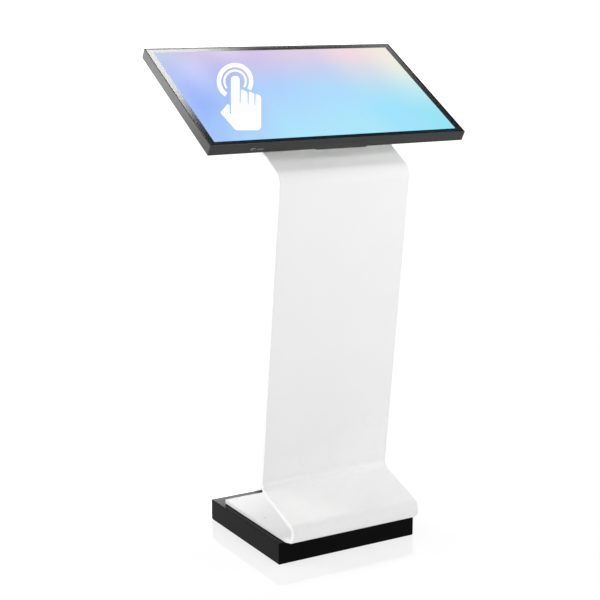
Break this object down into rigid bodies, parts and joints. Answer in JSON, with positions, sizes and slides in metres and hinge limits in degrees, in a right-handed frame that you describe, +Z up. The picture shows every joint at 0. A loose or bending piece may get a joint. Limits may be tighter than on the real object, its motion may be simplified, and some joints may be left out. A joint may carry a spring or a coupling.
{
  "type": "touchscreen kiosk",
  "caption": "Free-standing touchscreen kiosk: tilted wide display on a bent white column with a toe plate, bolted to a low heavy black plinth.",
  "frame": {"origin": "on the floor, at the middle of the rubber mat under the plinth", "axes": "+X to the right of a visitor who faces the screen, +Y to the kiosk's back, +Z up"},
  "size_m": [0.7362, 0.4531, 1.2753],
  "materials": {
    "gloss_black_steel": "gloss black powder coat",
    "white_steel": "satin white powder coat",
    "bare_steel": "zinc-plated",
    "black_steel": "hot-rolled, oiled",
    "rubber_black": "matte",
    "plastic_black": "moulded, fine grain",
    "plastic_gloss_black": "polished",
    "plastic_natural": "natural nylon",
    "plastic_white": "moulded",
    "cable_black": "satin PVC",
    "cable_blue": "satin PVC",
    "anodised_dark": "dark satin anodised",
    "aluminium_raw": "mill finish",
    "aluminium_case": "folded case",
    "glass_clear": "toughened, polished",
    "foam_tape": "foam",
    "film_clear": "clear film",
    "screen_lit": "lit picture",
    "sheet_white": "diffusing film",
    "acrylic": "clear acrylic",
    "board_green": "solder mask",
    "grey_painted_steel": "fine-texture dark grey powder coat",
    "chrome_lock": "nickel-plated"
  },
  "bodies": {
    "kiosk": {"plinth_shell": "gloss_black_steel", "ballast_bars": "black_steel", "plinth_floor": "bare_steel", "floor_screws": "bare_steel", "foot_mat": "rubber_black", "mains_inlet": "plastic_black", "network_socket": "plastic_black", "power_supply": "aluminium_case", "mains_wires": "cable_black", "stand_skin": "white_steel", "stiffener_bars": "aluminium_raw", "base_bushes": "white_steel", "base_screws": "white_steel", "foot_liner": "white_steel", "column_cover": "white_steel", "support_cover": "white_steel", "cover_screws": "bare_steel", "power_lead": "cable_black", "data_lead": "cable_blue", "lead_clips": "plastic_natural", "lead_grommets": "rubber_black", "rail_top": "anodised_dark", "rail_bottom": "anodised_dark", "rail_left": "anodised_dark", "rail_right": "anodised_dark", "corner_brackets": "bare_steel", "sensor_bar": "plastic_gloss_black", "cover_glass": "glass_clear", "glass_gasket": "foam_tape", "touch_film": "film_clear", "lcd_cell": "screen_lit", "panel_holder": "plastic_black", "optical_sheets": "sheet_white", "light_guide": "acrylic", "led_bar": "plastic_white", "backlight_tray": "bare_steel", "panel_channels": "aluminium_raw", "chassis_plate": "bare_steel", "rear_housing": "grey_painted_steel", "mounting_plate": "bare_steel", "plate_posts": "bare_steel", "mounting_screws": "bare_steel", "housing_screws": "bare_steel", "main_board": "board_green", "computer_board": "board_green", "touch_controller": "board_green", "board_posts": "bare_steel", "heat_sink": "aluminium_raw", "fan_housing": "plastic_black", "speakers": "plastic_black", "key_board": "board_green", "door_hinge": "bare_steel"},
    "mains_rocker": {"mains_rocker": "plastic_gloss_black"},
    "fan_rotor": {"fan_rotor": "plastic_black"},
    "power_button": {"power_button": "plastic_gloss_black"},
    "volume_key": {"volume_key": "plastic_white"},
    "service_door": {"service_door": "grey_painted_steel", "lock_body": "chrome_lock"},
    "lock_core": {"lock_core": "chrome_lock"}
  },
  "joints": [
    {"name": "mains_rocker_tilt", "type": "hinge", "parent": "kiosk", "child": "mains_rocker", "pos_m": [-0.0274, 0.1855, 0.0275], "axis": [1, 0, 0], "range_deg": [0, 20]},
    {"name": "fan_spin", "type": "hinge", "parent": "kiosk", "child": "fan_rotor", "pos_m": [0.158, 0.05812, 1.12968], "axis": [0, -0.5074, 0.8617], "continuous": true},
    {"name": "power_button_press", "type": "slide", "parent": "kiosk", "child": "power_button", "axis": [0, 0.8617, 0.5074], "range_m": [0, 0.0008], "stiffness_N_per_m": 1200, "springref_m": -0.0003},
    {"name": "volume_key_rock", "type": "hinge", "parent": "kiosk", "child": "volume_key", "pos_m": [-0.2303, -0.14461, 1.04907], "axis": [0, -0.5074, 0.8617], "range_deg": [-2.5, 2.5], "stiffness_Nm_per_rad": 0.25},
    {"name": "service_door_swing", "type": "hinge", "parent": "kiosk", "child": "service_door", "pos_m": [0.2916, 0.06645, 1.11752], "axis": [0, -0.8617, -0.5074], "range_deg": [0, 105]},
    {"name": "lock_turn", "type": "hinge", "parent": "service_door", "child": "lock_core", "pos_m": [0.213, 0.06076, 1.12717], "axis": [0, -0.5074, 0.8617], "range_deg": [0, 90]}
  ]
}
